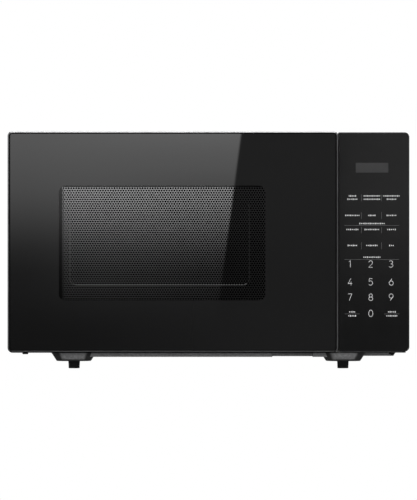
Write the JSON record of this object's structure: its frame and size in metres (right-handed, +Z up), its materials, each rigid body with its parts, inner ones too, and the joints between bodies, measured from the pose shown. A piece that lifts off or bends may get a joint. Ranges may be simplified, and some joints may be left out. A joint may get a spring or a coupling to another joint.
{
  "type": "microwave oven",
  "caption": "Countertop microwave oven: black glass door on side hinges with a perforated window and sprung latch, touch control panel, roller-ring glass turntable and cooling fan.",
  "frame": {"origin": "on the floor under the middle of the oven's bounding box", "axes": "+X to the viewer's right along the front, +Y to the back, +Z up; the door faces -Y"},
  "size_m": [0.44, 0.345, 0.262],
  "materials": {
    "door_glass": "clear float glass printed black from behind, ground bevel",
    "black_plastic": "fine moulded grain",
    "panel_gloss": "satin gloss printed front",
    "display_smoke": "smoked clear plastic",
    "screen_black": "semi-gloss dark paint on punched sheet",
    "enamel_grey": "light grey cavity paint",
    "cabinet_black": "fine textured black paint",
    "galvanised": "zinc coated sheet",
    "screw_steel": "plated screw",
    "rubber_black": "matt moulded",
    "clear_glass": "clear pressed glass",
    "white_plastic": "acetal",
    "mica": "pressed mica sheet",
    "copper_winding": "enamelled wire",
    "dark_iron": "varnished laminations and ferrite",
    "aluminium": "plain sheet",
    "board_green": "solder mask",
    "switch_grey": "moulded"
  },
  "bodies": {
    "chassis": {"lower_hinge": "galvanised", "upper_hinge": "galvanised", "front_frame": "enamel_grey", "cavity_wrap": "enamel_grey", "cavity_floor": "enamel_grey", "cavity_back": "enamel_grey", "waveguide_cover": "mica", "base_pan": "galvanised", "feet": "rubber_black", "rear_panel": "cabinet_black", "outer_wrapper": "cabinet_black", "cabinet_screws": "screw_steel", "cord_gland": "rubber_black", "panel_housing": "black_plastic", "keypad_membrane": "switch_grey", "panel_overlay": "panel_gloss", "display_lens": "display_smoke", "control_board": "board_green", "display_module": "switch_grey", "latch_board": "switch_grey", "interlock_switches": "black_plastic", "waveguide": "galvanised", "magnetron_yoke": "galvanised", "magnetron_magnets": "dark_iron", "magnetron_anode": "aluminium", "magnetron_antenna": "aluminium", "magnetron_filter": "galvanised", "transformer_core": "dark_iron", "transformer_coils": "copper_winding", "hv_capacitor": "aluminium", "capacitor_strap": "galvanised", "hv_diode": "black_plastic", "fan_motor": "dark_iron", "fan_shroud": "switch_grey", "lamp_holder": "galvanised", "lamp_bulb": "clear_glass", "thermal_cutouts": "black_plastic", "filter_board": "board_green", "turntable_motor": "galvanised"},
    "door": {"front_glass": "door_glass", "door_frame": "black_plastic", "hinge_bushes": "white_plastic", "perforated_screen": "screen_black", "door_panel": "enamel_grey", "door_screws": "screw_steel", "inner_window": "clear_glass", "choke_cover": "black_plastic", "latch_spring": "galvanised"},
    "latch": {"latch_hooks": "white_plastic"},
    "coupler": {"turntable_shaft": "switch_grey", "turntable_coupler": "white_plastic"},
    "plate": {"glass_turntable": "clear_glass"},
    "ring": {"roller_ring": "white_plastic"},
    "roller_1": {"roller_1": "white_plastic"},
    "roller_2": {"roller_2": "white_plastic"},
    "roller_3": {"roller_3": "white_plastic"},
    "fan": {"fan_blade": "switch_grey", "fan_shaft": "screw_steel"}
  },
  "joints": [
    {"name": "door_swing", "type": "hinge", "parent": "chassis", "child": "door", "pos_m": [-0.2098, -0.1505, 0.1406], "axis": [0, 0, -1], "range_deg": [0, 100]},
    {"name": "latch_lift", "type": "slide", "parent": "door", "child": "latch", "axis": [0, 0, 1], "range_m": [0, 0.004], "stiffness_N_per_m": 400, "springref_m": -0.004, "deforming": ["latch_spring"]},
    {"name": "turntable_spin", "type": "hinge", "parent": "chassis", "child": "coupler", "pos_m": [-0.036, 0.0063, 0.05], "axis": [0, 0, 1], "continuous": true},
    {"name": "plate_lift", "type": "slide", "parent": "coupler", "child": "plate", "axis": [0, 0, 1], "range_m": [0, 0.03]},
    {"name": "ring_spin", "type": "hinge", "parent": "chassis", "child": "ring", "pos_m": [-0.036, 0.0063, 0.04815], "axis": [0, 0, 1], "continuous": true},
    {"name": "roller_1_spin", "type": "hinge", "parent": "ring", "child": "roller_1", "pos_m": [-0.036, 0.0978, 0.04815], "axis": [0, 1, 0], "continuous": true},
    {"name": "roller_2_spin", "type": "hinge", "parent": "ring", "child": "roller_2", "pos_m": [-0.11524, -0.03945, 0.04815], "axis": [-0.866, -0.5, 0], "continuous": true},
    {"name": "roller_3_spin", "type": "hinge", "parent": "ring", "child": "roller_3", "pos_m": [0.04324, -0.03945, 0.04815], "axis": [0.866, -0.5, 0], "continuous": true},
    {"name": "fan_spin", "type": "hinge", "parent": "chassis", "child": "fan", "pos_m": [0.166, 0.125, 0.165], "axis": [0, -1, 0], "continuous": true}
  ],
  "couplings": [
    {"joint": "ring_spin", "follows": "turntable_spin", "ratio": 0.5},
    {"joint": "roller_1_spin", "follows": "turntable_spin", "ratio": -6.5357},
    {"joint": "roller_2_spin", "follows": "turntable_spin", "ratio": -6.5357},
    {"joint": "roller_3_spin", "follows": "turntable_spin", "ratio": -6.5357}
  ]
}
